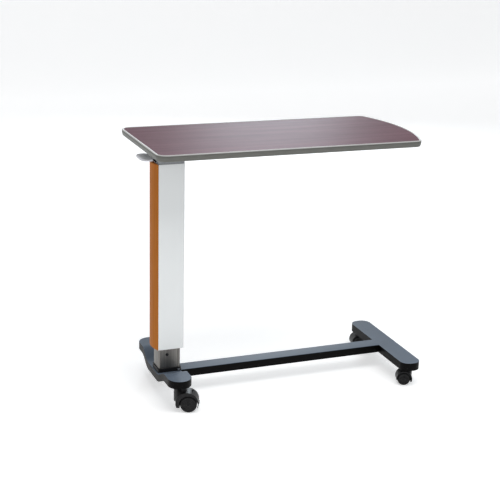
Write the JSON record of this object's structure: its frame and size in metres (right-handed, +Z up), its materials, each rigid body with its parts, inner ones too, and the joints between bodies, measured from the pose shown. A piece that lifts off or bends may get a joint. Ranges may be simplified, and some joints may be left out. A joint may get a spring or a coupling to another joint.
{
  "type": "overbed table",
  "caption": "Wheeled overbed table: a wood-grain top with a bowed end on one gas-sprung telescopic column, over a low base made of a cast foot, a beam and a bar.",
  "frame": {"origin": "on the floor, under the middle of the table's overall length and depth", "axes": "+X runs along the top from the column end to the bowed end, +Y to the back, away from the side with the front casters, +Z up"},
  "size_m": [0.8536, 0.4, 0.7808],
  "materials": {
    "board": "bare particle board",
    "laminate": "mauve-brown wood-grain laminate, satin",
    "backing": "pale grey balancing sheet, matt",
    "edge": "light grey edge profile, satin",
    "frame_coat": "charcoal powder coat",
    "head_cast": "as-cast, blasted",
    "black_plastic": "black nylon, matt",
    "fastener": "zinc plated",
    "spring_steel": "drawn wire, oiled",
    "lever_plastic": "light grey moulded plastic, fine texture",
    "column_white": "white powder coat, smooth",
    "panel_wood": "orange-brown wood-grain film on an extruded panel",
    "inner_metal": "drawn lengthwise, brushed",
    "plug_alloy": "sawn and milled",
    "screw_dark": "dark plated",
    "collar_plastic": "black moulded plastic",
    "gas_black": "black paint, semi-gloss",
    "gland": "natural nylon",
    "rod_chrome": "ground and hard-chromed",
    "piston_brass": "turned",
    "base_coat": "dark charcoal powder coat, satin",
    "hood_plastic": "black moulded plastic, satin",
    "axle_steel": "turned, bright",
    "wheel_tread": "dark polyurethane tread on a dished disc",
    "pedal_plastic": "black moulded plastic"
  },
  "bodies": {
    "base": {"inner_column": "inner_metal", "upper_glide": "black_plastic", "column_plug": "plug_alloy", "column_screws": "screw_dark", "base_collar": "collar_plastic", "collar_screws": "fastener", "gas_cylinder": "gas_black", "gas_gland": "gland", "column_foot": "base_coat", "foot_bolts": "fastener", "cross_beam": "base_coat", "beam_plug_near": "plug_alloy", "beam_plug_far": "plug_alloy", "beam_screws": "fastener", "far_foot": "base_coat", "far_foot_bolts": "fastener", "caster_sockets": "black_plastic", "caster_stems": "fastener"},
    "carriage": {"tabletop_core": "board", "top_laminate": "laminate", "backing_sheet": "backing", "edge_band": "edge", "rail_front": "frame_coat", "rail_back": "frame_coat", "rail_caps": "black_plastic", "mounting_plate": "frame_coat", "rail_screws": "fastener", "plate_screws": "fastener", "head_screws": "fastener", "column_head": "head_cast", "lever_pin": "fastener", "lever_spring": "spring_steel", "outer_column": "column_white", "wood_panel": "panel_wood", "lower_guide": "black_plastic", "gas_rod": "rod_chrome", "gas_piston": "piston_brass", "rod_nut": "fastener"},
    "lever": {"release_lever": "lever_plastic"},
    "valve": {"valve_pin": "spring_steel"},
    "caster_fl": {"caster_hood_fl": "hood_plastic", "caster_axle_fl": "axle_steel"},
    "wheel_fl_a": {"wheel_fl_a": "wheel_tread"},
    "wheel_fl_b": {"wheel_fl_b": "wheel_tread"},
    "pedal_fl": {"brake_pedal_fl": "pedal_plastic"},
    "caster_bl": {"caster_hood_bl": "hood_plastic", "caster_axle_bl": "axle_steel"},
    "wheel_bl_a": {"wheel_bl_a": "wheel_tread"},
    "wheel_bl_b": {"wheel_bl_b": "wheel_tread"},
    "pedal_bl": {"brake_pedal_bl": "pedal_plastic"},
    "caster_fr": {"caster_hood_fr": "hood_plastic", "caster_axle_fr": "axle_steel"},
    "wheel_fr_a": {"wheel_fr_a": "wheel_tread"},
    "wheel_fr_b": {"wheel_fr_b": "wheel_tread"},
    "caster_br": {"caster_hood_br": "hood_plastic", "caster_axle_br": "axle_steel"},
    "wheel_br_a": {"wheel_br_a": "wheel_tread"},
    "wheel_br_b": {"wheel_br_b": "wheel_tread"}
  },
  "joints": [
    {"name": "height_lift", "type": "slide", "parent": "base", "child": "carriage", "axis": [0, 0, 1], "range_m": [-0.06, 0.22]},
    {"name": "lever_pull", "type": "hinge", "parent": "carriage", "child": "lever", "pos_m": [-0.36275, 0, 0.7325], "axis": [0, 1, 0], "range_deg": [0, 8], "stiffness_Nm_per_rad": 2, "springref_deg": -2.86},
    {"name": "valve_press", "type": "slide", "parent": "carriage", "child": "valve", "axis": [0, 0, -1], "range_m": [0, 0.0036]},
    {"name": "swivel_fl", "type": "hinge", "parent": "base", "child": "caster_fl", "pos_m": [-0.33875, -0.1325, 0], "axis": [0, 0, 1], "continuous": true},
    {"name": "spin_fl_a", "type": "hinge", "parent": "caster_fl", "child": "wheel_fl_a", "pos_m": [-0.31541, -0.14146, 0.025], "axis": [0.3584, 0.9336, 0], "continuous": true},
    {"name": "spin_fl_b", "type": "hinge", "parent": "caster_fl", "child": "wheel_fl_b", "pos_m": [-0.31541, -0.14146, 0.025], "axis": [0.3584, 0.9336, 0], "continuous": true},
    {"name": "brake_fl", "type": "hinge", "parent": "caster_fl", "child": "pedal_fl", "pos_m": [-0.30308, -0.14619, 0.05357], "axis": [0.3584, 0.9336, 0], "range_deg": [0, 5]},
    {"name": "swivel_bl", "type": "hinge", "parent": "base", "child": "caster_bl", "pos_m": [-0.33875, 0.1645, 0], "axis": [0, 0, 1], "continuous": true},
    {"name": "spin_bl_a", "type": "hinge", "parent": "caster_bl", "child": "wheel_bl_a", "pos_m": [-0.3143, 0.1593, 0.025], "axis": [0.2079, 0.9781, 0], "continuous": true},
    {"name": "spin_bl_b", "type": "hinge", "parent": "caster_bl", "child": "wheel_bl_b", "pos_m": [-0.3143, 0.1593, 0.025], "axis": [0.2079, 0.9781, 0], "continuous": true},
    {"name": "brake_bl", "type": "hinge", "parent": "caster_bl", "child": "pedal_bl", "pos_m": [-0.30138, 0.15656, 0.05357], "axis": [0.2079, 0.9781, 0], "range_deg": [0, 5]},
    {"name": "swivel_fr", "type": "hinge", "parent": "base", "child": "caster_fr", "pos_m": [0.39475, -0.164, 0], "axis": [0, 0, 1], "continuous": true},
    {"name": "spin_fr_a", "type": "hinge", "parent": "caster_fr", "child": "wheel_fr_a", "pos_m": [0.38261, -0.15934, 0.02], "axis": [-0.3584, -0.9336, 0], "continuous": true},
    {"name": "spin_fr_b", "type": "hinge", "parent": "caster_fr", "child": "wheel_fr_b", "pos_m": [0.38261, -0.15934, 0.02], "axis": [-0.3584, -0.9336, 0], "continuous": true},
    {"name": "swivel_br", "type": "hinge", "parent": "base", "child": "caster_br", "pos_m": [0.39475, 0.164, 0], "axis": [0, 0, 1], "continuous": true},
    {"name": "spin_br_a", "type": "hinge", "parent": "caster_br", "child": "wheel_br_a", "pos_m": [0.38195, 0.16626, 0.02], "axis": [-0.1736, -0.9848, 0], "continuous": true},
    {"name": "spin_br_b", "type": "hinge", "parent": "caster_br", "child": "wheel_br_b", "pos_m": [0.38195, 0.16626, 0.02], "axis": [-0.1736, -0.9848, 0], "continuous": true}
  ],
  "couplings": [
    {"joint": "valve_press", "follows": "lever_pull", "m_per_rad": 0.024}
  ]
}
